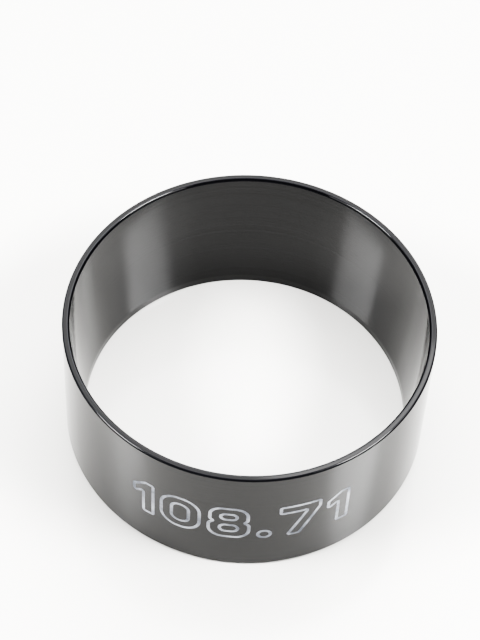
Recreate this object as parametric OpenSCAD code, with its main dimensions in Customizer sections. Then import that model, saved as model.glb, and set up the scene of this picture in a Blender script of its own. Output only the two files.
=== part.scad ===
// Tapered piston ring compressor.
// A turned sleeve stands on the block's deck over a cylinder. Its bore narrows from a wide
// mouth to the cylinder's own diameter, so a piston pushed down through it has its rings
// squeezed shut before they reach the block.
// Millimetres. The origin is the centre of the foot, and +Z points up to the mouth.

/* [Bore] */
// Diameter of the engine cylinder, matched by the straight land (4.280 in)
bore_d = 108.712; // [75:0.001:140]
// Height of the straight land above the foot, chamfer included (0.125 in)
land_h = 3.175; // [1.5:0.005:12]

/* [Sleeve] */
// Overall height from foot to rim (2.050 in)
sleeve_h = 52.07; // [35:0.01:80]
// Wall thickness round the straight land (0.250 in, for an outer diameter of 4.780 in)
land_wall = 6.35; // [5:0.01:10]
// Wall thickness at the mouth before its edges are broken
rim_wall = 2.45; // [1.8:0.05:4.5]

/* [Edges] */
// Chamfer on the outer edge of the rim
rim_outer_chamfer = 0.45; // [0.2:0.05:0.7]
// Chamfer on the inner edge of the rim, which leads the rings in
rim_inner_chamfer = 0.6; // [0.3:0.05:0.9]
// Chamfer on the outer edge of the foot
foot_outer_chamfer = 1; // [0.3:0.05:2]
// Chamfer on the inner edge of the foot
foot_inner_chamfer = 0.3; // [0.1:0.05:1]

/* [Hidden] */
$fn = 180;

black = "#1a1a1c";

bore_r = bore_d / 2;
outer_r = bore_r + land_wall;
mouth_r = outer_r - rim_wall;
// Height at which the rim's inner chamfer meets the tapered wall
lead_in_h = sleeve_h - rim_inner_chamfer;

// Radius of the tapered wall at height z: a straight line from the land's top to the mouth
function taper_r(z) = bore_r + (mouth_r - bore_r) * (z - land_h) / (sleeve_h - land_h);

// Half section of the sleeve, radius across and height up
module section() {
    foot = [
        [bore_r + foot_inner_chamfer, 0],
        [outer_r - foot_outer_chamfer, 0],
        [outer_r, foot_outer_chamfer],
    ];
    rim = [
        [outer_r, sleeve_h - rim_outer_chamfer],
        [outer_r - rim_outer_chamfer, sleeve_h],
        [mouth_r + rim_inner_chamfer, sleeve_h],
        [taper_r(lead_in_h), lead_in_h],
    ];
    land = [
        [bore_r, land_h],
        [bore_r, foot_inner_chamfer],
    ];
    polygon(concat(foot, rim, land));
}

module tapered_sleeve() {
    color(black)
        rotate_extrude()
            section();
}

tapered_sleeve();
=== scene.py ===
# %% [markdown]
# # A tapered piston ring compressor
# The tool is one short sleeve, turned from aluminium and anodised glossy black. A piston goes in at the
# wide mouth, and the bore narrows until its rings are squeezed shut. The solid model already holds the
# true sizes, so this lesson loads it as a fixed frame and gives it a surface, a finish, light and a camera.
# Blender counts in metres and a machinist in millimetres, so one constant turns one into the other.

# %% Load the solid model
import math

import bpy
import numpy as np
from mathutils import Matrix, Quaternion, Vector


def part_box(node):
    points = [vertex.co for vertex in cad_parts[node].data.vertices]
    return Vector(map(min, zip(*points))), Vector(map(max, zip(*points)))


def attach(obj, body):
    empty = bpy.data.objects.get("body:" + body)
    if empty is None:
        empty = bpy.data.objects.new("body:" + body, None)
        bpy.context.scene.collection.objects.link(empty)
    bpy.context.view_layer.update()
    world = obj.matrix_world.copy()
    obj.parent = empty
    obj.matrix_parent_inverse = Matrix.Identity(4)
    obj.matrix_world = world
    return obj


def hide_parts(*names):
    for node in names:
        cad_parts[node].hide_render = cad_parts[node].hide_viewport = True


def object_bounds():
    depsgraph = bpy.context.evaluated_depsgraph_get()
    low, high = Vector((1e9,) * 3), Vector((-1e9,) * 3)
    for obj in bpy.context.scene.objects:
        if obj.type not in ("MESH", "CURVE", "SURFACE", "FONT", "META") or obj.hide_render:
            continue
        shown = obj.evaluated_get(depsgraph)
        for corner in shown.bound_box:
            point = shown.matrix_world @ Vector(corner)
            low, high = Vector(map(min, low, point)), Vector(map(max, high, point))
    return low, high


MM = 0.001
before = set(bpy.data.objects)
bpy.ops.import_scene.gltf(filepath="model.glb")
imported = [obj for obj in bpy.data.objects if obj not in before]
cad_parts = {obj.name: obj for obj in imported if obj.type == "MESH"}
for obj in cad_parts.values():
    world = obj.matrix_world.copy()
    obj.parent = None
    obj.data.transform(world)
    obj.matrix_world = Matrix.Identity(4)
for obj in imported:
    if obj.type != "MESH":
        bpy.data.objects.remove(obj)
cad_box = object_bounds()
size = (cad_box[1] - cad_box[0]) / MM
print(f"the solid is {size.x:.2f} x {size.y:.2f} x {size.z:.2f} mm")

# %% [markdown]
# ## The camera
# The view is from in front and high above, with a long lens. A long lens could be faked with a wide one
# and a crop, but only the real distance gives the right slant between the rim and the foot. So the camera
# is placed by what a photographer sets: how steeply it looks down, how far it stands and how it is rolled.

# %% Place the camera
LOOK_DOWN = math.radians(54.62)
LOOK_RIGHT = math.radians(0.31)
ROLL = math.radians(3.27)
AIM_POINT = Vector((-3.14, 18.38, 26.04)) * MM
DISTANCE = 751.9 * MM
LENS = 125.4

scene = bpy.context.scene
forward = Vector((
    math.sin(LOOK_RIGHT) * math.cos(LOOK_DOWN),
    math.cos(LOOK_RIGHT) * math.cos(LOOK_DOWN),
    -math.sin(LOOK_DOWN),
))
camera = bpy.data.objects.new("camera", bpy.data.cameras.new("camera"))
camera.data.lens = LENS
camera.location = AIM_POINT - forward * DISTANCE
camera.rotation_mode = "QUATERNION"
camera.rotation_quaternion = forward.to_track_quat("-Z", "Y") @ Quaternion((0, 0, 1), ROLL)
scene.collection.objects.link(camera)
scene.camera = camera
print("camera at", [round(c / MM) for c in camera.location], "mm, lens", LENS, "mm")

# %% [markdown]
# ## Helpers for finishes
# Colours are chosen as the hex values that a screen shows, but light adds up in linear values, so one
# function turns hex into linear. A second one adds any node to a node tree. It finds sockets by their
# identifier, because some nodes have several sockets of the same name. A third starts an empty material.

# %% Helpers for colours and nodes
def linear(hex_colour):
    """Linear RGBA of an sRGB hex colour: divide by 12.92 when dark, else ((c + 0.055) / 1.055) ** 2.4."""
    c = np.array([int(hex_colour[i:i + 2], 16) for i in (1, 3, 5)]) / 255
    c = np.where(c <= 0.04045, c / 12.92, ((c + 0.055) / 1.055) ** 2.4)
    return (*c.tolist(), 1.0)


def add_node(tree, kind, inputs, **settings):
    """Adds a node and returns its outputs by identifier. Settings go on the node itself, and an input
    takes a value or, where it is given another node's output, a link from it."""
    made = tree.nodes.new(kind)
    for name, value in settings.items():
        setattr(made, name, value)
    sockets = {s.identifier: s for s in made.inputs}
    for name, value in inputs.items():
        if isinstance(value, bpy.types.NodeSocket):
            tree.links.new(value, sockets[name])
        else:
            sockets[name].default_value = value
    return {s.identifier: s for s in made.outputs}


def new_material(name):
    """A material with an empty node tree, and that tree."""
    material = bpy.data.materials.new(name)
    material.use_nodes = True
    material.node_tree.nodes.clear()
    return material, material.node_tree


print("black in linear values:", linear("#101012")[:3])

# %% [markdown]
# ## Light
# Glossy black shows little of its own: what the eye sees is what it mirrors. The upright walls mirror the
# floor, the flat rim mirrors what is behind it, and the rounded edges catch the lamps. One big lamp
# overhead would leave the edges dull, so a small bright softbox stands on each side, inside a wide faint
# glow that lets its highlights fade out. A large dim panel behind the sleeve turns the rim from black to
# grey. The lamp overhead only brightens the floor: it is hidden from mirror rays, so the edges stay black
# between their highlights.

# %% Set up the lamps
LAMP_DISTANCE = 1.0
LAMP_TARGET = Vector((0, 0, 25.4)) * MM


def softbox(name, azimuth, elevation, width, height, radiance):
    """An elliptical lamp that faces the sleeve, sized in metres. Azimuth turns from the front to the right,
    in degrees. A flat lamp of area A and power P has the radiance P / (pi * A), so the power follows from
    the radiance."""
    turn = math.radians(azimuth)
    rise = math.radians(elevation)
    towards = Vector((math.sin(turn) * math.cos(rise), -math.cos(turn) * math.cos(rise), math.sin(rise)))
    lamp = bpy.data.lights.new(name, "AREA")
    lamp.shape = "ELLIPSE"
    lamp.size = width
    lamp.size_y = height
    area = math.pi / 4 * width * height
    lamp.energy = radiance * math.pi * area
    holder = bpy.data.objects.new(name, lamp)
    holder.location = LAMP_TARGET + towards * LAMP_DISTANCE
    holder.rotation_mode = "QUATERNION"
    holder.rotation_quaternion = (-towards).to_track_quat("-Z", "Y")
    scene.collection.objects.link(holder)
    print(f"{name}: {lamp.energy:.1f} W")
    return holder


softbox("right_softbox", azimuth=73, elevation=50, width=0.42, height=0.26, radiance=56)
softbox("right_glow", azimuth=73, elevation=48, width=0.84, height=0.52, radiance=4.6)
softbox("left_softbox", azimuth=-73, elevation=47, width=0.4, height=0.26, radiance=48)
softbox("left_glow", azimuth=-73, elevation=45, width=0.8, height=0.52, radiance=3.2)
softbox("back_panel", azimuth=177, elevation=46, width=1.4, height=1.4, radiance=4.3)
softbox("back_highlight", azimuth=164, elevation=62, width=0.21, height=0.24, radiance=4.0)
top_fill = softbox("top_fill", azimuth=180, elevation=89, width=0.9, height=0.9, radiance=4.0)
top_fill.visible_glossy = False

# %% [markdown]
# ## The room and the tone curve
# Beyond the lamps the room is a dim, even grey, which lifts the shadows a little. A bright room alone would
# be simpler than lamps, but black would mirror it from every side and turn flat grey. The tone curve is a
# steep one, because it keeps the blacks apart from the greys.

# %% Dim the room and set the tone curve
ROOM_STRENGTH = 0.25

world = bpy.data.worlds.new("dim_studio")
world.use_nodes = True
background = world.node_tree.nodes["Background"]
background.inputs["Color"].default_value = linear("#8c8c90")
background.inputs["Strength"].default_value = ROOM_STRENGTH
scene.world = world
scene.view_settings.view_transform = "AgX"
scene.view_settings.look = "AgX - Very High Contrast"
print("room at", ROOM_STRENGTH, "with the look", scene.view_settings.look)

# %% [markdown]
# ## The floor
# The sleeve stands on a sheet of pale satin acrylic. A plane would do, but a disc made as a grid of rings
# has no corners to show in any view. It lies a hair under the sleeve's foot, so the two never share a face.
# Satin acrylic is pale all through with a blurred gloss on top, and that gloss carries the side lamps on
# into the walls, as soft bright bands.

# %% Make the floor
FLOOR_RADIUS = 4.0
FLOOR_DROP = 0.05 * MM
FLOOR_RINGS = 24
FLOOR_SPOKES = 96
FIRST_RING_SHARE = 0.02


def open_grid_faces(rows, columns):
    """Quads between neighbouring rows of a grid whose columns close on themselves."""
    index = np.arange(rows * columns).reshape(rows, columns)
    near = index[:-1]
    far = index[1:]
    return np.stack([near, far, np.roll(far, -1, 1), np.roll(near, -1, 1)], -1).reshape(-1, 4)


def disc(radius, rings, spokes):
    """Points of a flat disc: at ring share s and angle a, the radius is R * s squared, so that the rings
    crowd together near the middle."""
    share = np.linspace(FIRST_RING_SHARE, 1, rings) ** 2
    angle = np.linspace(0, 2 * np.pi, spokes, endpoint=False)
    s, a = np.meshgrid(share * radius, angle, indexing="ij")
    return np.stack([s * np.cos(a), s * np.sin(a), np.full_like(s, -FLOOR_DROP)], -1).reshape(-1, 3)


floor_mesh = bpy.data.meshes.new("floor")
floor_faces = open_grid_faces(FLOOR_RINGS, FLOOR_SPOKES).tolist() + [list(range(FLOOR_SPOKES))]
floor_mesh.from_pydata(disc(FLOOR_RADIUS, FLOOR_RINGS, FLOOR_SPOKES), [], floor_faces)
floor = bpy.data.objects.new("floor", floor_mesh)
scene.collection.objects.link(floor)
print("floor of", len(floor_mesh.polygons), "faces")

# %% Give the floor its finish
acrylic, tree = new_material("satin_cast_acrylic")
surface = add_node(tree, "ShaderNodeBsdfPrincipled", {
    "Base Color": linear("#cfcecb"),
    "Roughness": 0.17,
    "IOR": 1.45,
})
add_node(tree, "ShaderNodeOutputMaterial", {"Surface": surface["BSDF"]})
floor_mesh.materials.append(acrylic)
print("acrylic finish of", len(tree.nodes), "nodes")

# %% [markdown]
# ## The section of the sleeve
# A lathe part is a flat outline carried round an axis, so the outline comes first. It could be typed in
# again, but the solid already has it: every corner of the section is a circle of vertices. Their radius and
# height, sorted by their angle about the middle of the section, are the outline's corners. A vertex that
# lies along a straight side is no corner, so it is dropped.

# %% Read the corners of the section
LEAST_TURN = 0.01       # sine of the smallest turn that counts as a corner


def section_corners(node):
    """Corners (radius, height) of a turned solid's section in mm, anticlockwise from below: the distinct
    pairs of radius and height among its vertices, sorted by their angle about their mean. A pair stays
    where the ways in and out make a turn, whose sine is their cross product over their lengths."""
    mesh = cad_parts[node].data
    flat = np.empty(3 * len(mesh.vertices), np.float32)
    mesh.vertices.foreach_get("co", flat)
    x, y, z = flat.astype(float).reshape(-1, 3).T / MM
    pairs = np.unique(np.round(np.column_stack([np.hypot(x, y), z]), 3), axis=0)
    out, up = (pairs - pairs.mean(0)).T
    pairs = pairs[np.argsort(np.mod(np.arctan2(up, out) + np.pi / 2, 2 * np.pi))]
    way_in = pairs - np.roll(pairs, 1, 0)
    way_out = np.roll(pairs, -1, 0) - pairs
    cross = way_in[:, 0] * way_out[:, 1] - way_in[:, 1] * way_out[:, 0]
    lengths = np.linalg.norm(way_in, axis=1) * np.linalg.norm(way_out, axis=1)
    return pairs[np.abs(cross) > LEAST_TURN * lengths]


corners = section_corners("tapered_sleeve")
print("section corners (radius, height):", corners.round(3).tolist())

# %% [markdown]
# ## Rounded edges
# No real edge is perfectly sharp: deburring and the anodised layer leave every corner a little round, and
# that round is what catches a lamp as a thin bright line. The rim is handled most and is smoothed most, so
# there the arcs are large enough to turn each chamfer almost into a full round. A Bevel modifier could add
# them, but rounding the outline with true arcs gives exact surface directions too, which a mirror needs.
# The long straight sides then get points of their own, so that no face of the sleeve is a long sliver.

# %% Round the corners of the section
EDGE_RADIUS = 0.14
RIM_OUTER_RADIUS = 0.7
RIM_INNER_RADIUS = 0.8
ARC_POINTS = 12


def rounded(outline, radius, arc_points):
    """Closed outline with each corner replaced by an arc. Where the way turns by t, the arc starts
    radius * tan(t / 2) before the corner, and its centre lies one radius to the side it turns to.
    Returns points, outward directions and a weight that is 1 in the middle of an arc and 0 at its ends."""
    way_in = outline - np.roll(outline, 1, 0)
    way_in /= np.linalg.norm(way_in, axis=1, keepdims=True)
    way_out = np.roll(way_in, -1, 0)
    cross = way_in[:, 0] * way_out[:, 1] - way_in[:, 1] * way_out[:, 0]
    turn = np.arctan2(cross, (way_in * way_out).sum(1))
    side = np.sign(turn)[:, None]
    radius = np.broadcast_to(radius, turn.shape)[:, None]
    left = np.column_stack([-way_in[:, 1], way_in[:, 0]])
    centre = outline - way_in * radius * np.tan(np.abs(turn) / 2)[:, None] + left * radius * side
    share = np.linspace(0, 1, arc_points)
    angle = np.arctan2(-left[:, 1], -left[:, 0])[:, None] + turn[:, None] * share
    outward = np.stack([np.cos(angle), np.sin(angle)], -1)
    points = centre[:, None] + outward * (radius * side)[:, None]
    weight = np.broadcast_to(np.sin(np.pi * share), angle.shape)
    return points.reshape(-1, 2), outward.reshape(-1, 2), weight.reshape(-1)


at_rim = corners[:, 1] > corners[:, 1].mean()
outside = corners[:, 0] > corners[at_rim, 0].mean()
radii = np.select([at_rim & outside, at_rim], [RIM_OUTER_RADIUS, RIM_INNER_RADIUS], EDGE_RADIUS)
rounded_section = np.column_stack(rounded(corners, radii, ARC_POINTS))
print("rounded section of", len(rounded_section), "points, with radii", radii.tolist())

# %% Even out the steps along the section
LONGEST_STEP = 2.0


def evened(columns, longest):
    """Closed outline with points added, so that no step is longer than the given length. The first two
    columns are the point. Every column is interpolated along the outline, and the length itself is the
    last column of the result."""
    loop = np.vstack([columns, columns[:1]])
    step = np.linalg.norm(np.diff(loop[:, :2], axis=0), axis=1)
    along = np.concatenate([[0], np.cumsum(step)])
    parts = np.maximum(np.ceil(step / longest).astype(int), 1)
    first = np.repeat(along[:-1], parts)
    place = np.arange(parts.sum()) - np.repeat(np.cumsum(parts) - parts, parts)
    fine = first + place * np.repeat(step / parts, parts)
    return np.column_stack([np.interp(fine, along, column) for column in loop.T] + [fine])


profile = evened(rounded_section, LONGEST_STEP)
section_r, section_z, outward_r, outward_z, edge_weight, outline_mm = profile.T
print(f"outline of {len(section_r)} points, {outline_mm[-1]:.1f} mm round")

# %% [markdown]
# ## The tapered sleeve
# Blender's Screw modifier would spin the outline, but as a plain function of two parameters the sleeve
# also carries data that the finish needs: the way along the outline, which the turning tool followed, and
# where the rounded edges are. The wall lies a few hundredths of a millimetre inside the solid's, which leaves
# room for the etched mark to lie flush.

# %% Spin the section
TURN_STEPS = 480
MARK_STEP = 0.02


def turned(r, z):
    """Points of a surface of revolution: at angle a and outline point (r, z) it is (r cos a, r sin a, z)."""
    angle = np.linspace(0, 2 * np.pi, TURN_STEPS, endpoint=False)[:, None]
    return np.stack(np.broadcast_arrays(r * np.cos(angle), r * np.sin(angle), z), -1)


def closed_grid_faces(rows, columns):
    """Quads of a grid that closes on itself both ways."""
    index = np.arange(rows * columns).reshape(rows, columns)
    below = np.roll(index, -1, 0)
    return np.stack([index, below, np.roll(below, -1, 1), np.roll(index, -1, 1)], -1).reshape(-1, 4)


def enclosed_volume(points, faces):
    """Volume inside a closed mesh of quads in cubic mm: the sum of a . (b x c) / 6 over its triangles,
    which is positive only if the faces point outwards."""
    a, b, c, d = points.reshape(-1, 3)[faces].transpose(1, 0, 2)
    return ((a * np.cross(b, c)).sum() + (a * np.cross(c, d)).sum()) / 6


box_low, box_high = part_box("tapered_sleeve")
wall_r = min(box_high.x, box_high.y, -box_low.x, -box_low.y) / MM - MARK_STEP
sleeve_points = turned(np.minimum(section_r, wall_r), section_z)
sleeve_faces = closed_grid_faces(*sleeve_points.shape[:2])
volume = enclosed_volume(sleeve_points, sleeve_faces)
print(f"sleeve of {len(sleeve_faces)} quads holds {volume:.0f} cubic mm")

# %% Make the sleeve
def make_piece(name, points, faces):
    """A mesh object at the origin, from points in mm."""
    mesh = bpy.data.meshes.new(name)
    mesh.from_pydata(points.reshape(-1, 3) * MM, [], faces)
    piece = bpy.data.objects.new(name, mesh)
    scene.collection.objects.link(piece)
    return piece


sleeve = make_piece("tapered_sleeve_surface", sleeve_points, sleeve_faces)
sleeve.data.shade_smooth()
sleeve.data.normals_split_custom_set_from_vertices(turned(outward_r, outward_z).reshape(-1, 3))
for name, values in {"edge": edge_weight, "outline_mm": outline_mm}.items():
    attribute = sleeve.data.attributes.new(name, "FLOAT", "POINT")
    attribute.data.foreach_set("value", np.tile(values, TURN_STEPS).astype(np.float32))
print("sleeve with the attributes", [a.name for a in sleeve.data.attributes if a.data_type == "FLOAT"])

# %% [markdown]
# ## Black hard-anodised aluminium
# Hard anodising grows a clear layer of aluminium oxide out of the metal, and black dye in its pores takes up
# nearly all the light, so what is left to see is the gloss of the oxide. A dark metal could stand for it,
# but metal mirrors almost evenly at any angle, and this layer is a weak mirror face on and a strong one at a
# slant. So the finish is a dark dielectric. The oxide itself has an index of about 1.6, but the dyed, porous
# layer mirrors less. The lathe's tool leaves fine rings that take the dye unevenly, and handling leaves
# faint smears. The rounded edges are painted a little paler, partly because the layer is thinnest there and
# partly as a painted highlight along them.

# %% Draw the turning rings and the smears
RING_PITCH = 1.1        # the real feed is about 0.1 mm, too fine to show, so it is drawn coarser
SMEAR_SIZE = 16.0


def per_metre(millimetres):
    """How many features of that size fit in a metre, which is a texture's scale on Object coordinates."""
    return 1 / (millimetres * MM)


anodised, tree = new_material("black_hard_anodised_aluminium")
along = add_node(tree, "ShaderNodeAttribute", {}, attribute_name="outline_mm")
rings = add_node(tree, "ShaderNodeTexNoise", {
    "W": along["Fac"],
    "Scale": 1 / RING_PITCH,
    "Detail": 2.0,
    "Roughness": 0.6,
}, noise_dimensions="1D")
ring_share = add_node(tree, "ShaderNodeMapRange", {
    "Value": rings["Fac"],
    "From Min": 0.3,
    "From Max": 0.7,
})
place = add_node(tree, "ShaderNodeTexCoord", {})
smears = add_node(tree, "ShaderNodeTexNoise", {
    "Vector": place["Object"],
    "Scale": per_metre(SMEAR_SIZE),
    "Detail": 4.0,
    "Roughness": 0.55,
    "Distortion": 0.6,
})
print(f"rings {RING_PITCH} mm apart, smears {SMEAR_SIZE} mm wide")

# %% Work out the gloss and the colour
ring_gloss = add_node(tree, "ShaderNodeMapRange", {
    "Value": ring_share["Result"],
    "To Min": 0.03,
    "To Max": 0.05,
})
gloss = add_node(tree, "ShaderNodeMapRange", {
    "Value": smears["Fac"],
    "From Min": 0.45,
    "From Max": 0.75,
    "To Min": ring_gloss["Result"],
    "To Max": 0.08,
})
dye = add_node(tree, "ShaderNodeMix", {
    "Factor_Float": ring_share["Result"],
    "A_Color": linear("#040405"),
    "B_Color": linear("#141416"),
}, data_type="RGBA")
# The rounded edges are painted paler: partly the thinner anodised layer there, partly a painted highlight.
edge = add_node(tree, "ShaderNodeAttribute", {}, attribute_name="edge")
thin_layer_and_painted_sheen = add_node(tree, "ShaderNodeMix", {
    "Factor_Float": edge["Fac"],
    "A_Color": dye["Result_Color"],
    "B_Color": linear("#1b1b1e"),
}, data_type="RGBA")
print("gloss and colour bring the finish to", len(tree.nodes), "nodes")

# %% Put the anodised finish on the sleeve
RING_DEPTH = 0.012

relief = add_node(tree, "ShaderNodeBump", {
    "Height": rings["Fac"],
    "Strength": 1.0,
    "Distance": RING_DEPTH * MM,
})
surface = add_node(tree, "ShaderNodeBsdfPrincipled", {
    "Base Color": thin_layer_and_painted_sheen["Result_Color"],
    "Roughness": gloss["Result"],
    "IOR": 1.37,
    "Normal": relief["Normal"],
})
add_node(tree, "ShaderNodeOutputMaterial", {"Surface": surface["BSDF"]})
sleeve.data.materials.append(anodised)
print("anodised finish of", len(tree.nodes), "nodes")

# %% [markdown]
# ## The etched bore size
# The bore's diameter is drawn on the front of the wall as outlined numbers, burnt through the black layer by
# a laser. Blender's Text object could draw them in a font, but its outline would have to be cut open and
# bent round the wall. Here every number is a short list of corners, each with its own rounding, and the
# same rounding function as before turns it into an outline. The laser's line is a thin flat strip along it.

# %% Draw the numbers
SIZE_MARK = "108.71"
GLYPH_GAP = 3.0
# Every loop lists its corners as (across, up, corner radius) in mm, on numbers 17 mm tall. No radius is
# under half the width of the line, so the line never folds over itself at a corner.
GLYPHS = {
    "0": [
        [(0, 0, 6), (13, 0, 6), (13, 17, 6), (0, 17, 6)],
        [(3.6, 3.6, 2.7), (9.4, 3.6, 2.7), (9.4, 13.4, 2.7), (3.6, 13.4, 2.7)],
    ],
    "1": [
        [(3.6, 0, 0.6), (7.2, 0, 0.6), (7.2, 17, 0.6), (4.4, 17, 0.8),
         (0, 13.4, 0.6), (0, 9.4, 0.6), (3.6, 12.2, 0.6)],
    ],
    "7": [
        [(2.6, 0, 0.6), (6.4, 0, 0.6), (13, 13.6, 1.5), (13, 17, 0.6),
         (0, 17, 0.6), (0, 13.4, 0.6), (9, 13.4, 0.6)],
    ],
    "8": [
        [(0, 0, 4.5), (13, 0, 4.5), (13, 7.7, 2.2), (11.3, 8.9, 0.6), (12.6, 9.9, 1.6), (12.6, 17, 4.2),
         (0.4, 17, 4.2), (0.4, 9.9, 1.6), (1.7, 8.9, 0.6), (0, 7.7, 2.2)],
        [(3.6, 3.4, 1.9), (9.4, 3.4, 1.9), (9.4, 7.3, 1.9), (3.6, 7.3, 1.9)],
        [(3.9, 10.4, 1.6), (9.1, 10.4, 1.6), (9.1, 13.7, 1.6), (3.9, 13.7, 1.6)],
    ],
    ".": [
        [(0, 0, 1.9), (4, 0, 1.9), (4, 4, 1.9), (0, 4, 1.9)],
    ],
}


def lettered(text):
    """The loops of a text, each an array of (across, up, corner radius), centred across on zero: every
    glyph starts one gap after the last one's right edge."""
    loops = []
    pen = 0.0
    for sign in text:
        drawn = [np.array(loop, float) for loop in GLYPHS[sign]]
        loops += [loop + [pen, 0, 0] for loop in drawn]
        pen += max(loop[:, 0].max() for loop in drawn) + GLYPH_GAP
    middle = (pen - GLYPH_GAP) / 2
    return [loop - [middle, 0, 0] for loop in loops]


mark_loops = lettered(SIZE_MARK)
print("mark of", len(mark_loops), "loops,", round(2 * mark_loops[-1][:, 0].max(), 1), "mm wide")

# %% Carry the laser's line along each loop
LINE_WIDTH = 1.1
LINE_SUNK = 0.1
LINE_STEP = 0.4
CORNER_ARC_POINTS = 14


def smooth_outline(loop):
    """Points (across, up) of a loop with its corners rounded and its steps evened out."""
    points = rounded(loop[:, :2], loop[:, 2], CORNER_ARC_POINTS)[0]
    return evened(points, LINE_STEP)[:, :2]


def strip(outline):
    """Closed strip along a closed outline, as a grid of four corners for each point. At each point the two
    neighbouring side directions m and n give the mitre (m + n) / (1 + m . n), which keeps the width even
    round corners. Across the strip is half a width to each side, and its depth runs into the wall."""
    way = np.roll(outline, -1, 0) - outline
    way /= np.linalg.norm(way, axis=1, keepdims=True)
    after = np.column_stack([-way[:, 1], way[:, 0]])
    before = np.roll(after, 1, 0)
    mitre = (before + after) / (1 + (before * after).sum(1, keepdims=True))
    across = np.array([1, -1, -1, 1]) * LINE_WIDTH / 2
    depth = np.array([-LINE_SUNK, -LINE_SUNK, MARK_STEP, MARK_STEP])
    flat = outline[:, None] + mitre[:, None] * across[:, None]
    return np.concatenate([flat, np.broadcast_to(depth[:, None], (*flat.shape[:2], 1))], -1)


strips = [strip(smooth_outline(loop)) for loop in mark_loops]
print("strips with", [len(points) for points in strips], "points along them")

# %% Wrap the strips round the wall
MARK_BASE = 17.5


def wrapped(strip_points):
    """Bends flat points (across, up, depth) round the front of the wall: the angle is across / radius, the
    radius is the wall's plus the depth, and the front is towards -Y."""
    u, v, depth = np.moveaxis(strip_points, -1, 0)
    angle = u / wall_r
    r = wall_r + depth
    return np.stack([r * np.sin(angle), -r * np.cos(angle), v + MARK_BASE], -1)


strip_shapes = [points.shape[:2] for points in strips]
starts = np.cumsum([0] + [along * across for along, across in strip_shapes[:-1]])
strip_faces = [closed_grid_faces(*shape) + start for shape, start in zip(strip_shapes, starts)]
mark_points = np.concatenate([wrapped(points).reshape(-1, 3) for points in strips])
mark_faces = np.concatenate(strip_faces)
mark = make_piece("etched_size", mark_points, mark_faces)
volume = enclosed_volume(mark_points, mark_faces)
print(f"mark of {len(mark_faces)} quads holds {volume:.2f} cubic mm")

# %% [markdown]
# ## Laser-etched aluminium
# Where the laser has burnt the black layer away, bare metal shows, roughened by the beam into a grey satin.
# Pale paint would be simpler, but it looks the same from every side. Metal mirrors its surroundings in its
# own colour, here too roughly to show shapes, so the line brightens and dims as the view moves. The beam
# sweeps to and fro in fine hatching, which gives the line its slight grain, and it cleans the metal unevenly,
# so the line is paler in some places than in others.

# %% Draw the hatching and the uneven burn
HATCH_SIZE = 0.35       # the real hatching is about 0.05 mm, too fine to show, so it is drawn coarser
BURN_SIZE = 9.0

etched, tree = new_material("laser_etched_bare_aluminium")
place = add_node(tree, "ShaderNodeTexCoord", {})
hatch = add_node(tree, "ShaderNodeTexNoise", {
    "Vector": place["Object"],
    "Scale": per_metre(HATCH_SIZE),
    "Detail": 2.0,
})
burn = add_node(tree, "ShaderNodeTexNoise", {
    "Vector": place["Object"],
    "Scale": per_metre(BURN_SIZE),
    "Detail": 4.0,
    "Roughness": 0.65,
})
burn_share = add_node(tree, "ShaderNodeMapRange", {
    "Value": burn["Fac"],
    "From Min": 0.35,
    "From Max": 0.65,
})
print(f"hatching {HATCH_SIZE} mm wide, burn {BURN_SIZE} mm wide")

# %% Put the etched finish on the mark
metal = add_node(tree, "ShaderNodeMix", {
    "Factor_Float": burn_share["Result"],
    "A_Color": linear("#5a5e67"),
    "B_Color": linear("#a2a5ac"),
}, data_type="RGBA")
satin = add_node(tree, "ShaderNodeMapRange", {
    "Value": hatch["Fac"],
    "To Min": 0.32,
    "To Max": 0.5,
})
surface = add_node(tree, "ShaderNodeBsdfPrincipled", {
    "Base Color": metal["Result_Color"],
    "Metallic": 1.0,
    "Roughness": satin["Result"],
})
add_node(tree, "ShaderNodeOutputMaterial", {"Surface": surface["BSDF"]})
mark.data.materials.append(etched)
print("etched finish of", len(tree.nodes), "nodes")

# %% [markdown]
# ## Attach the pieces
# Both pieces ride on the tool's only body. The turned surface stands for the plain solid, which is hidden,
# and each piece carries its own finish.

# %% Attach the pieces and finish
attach(sleeve, "root")
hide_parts("tapered_sleeve")
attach(mark, "root")
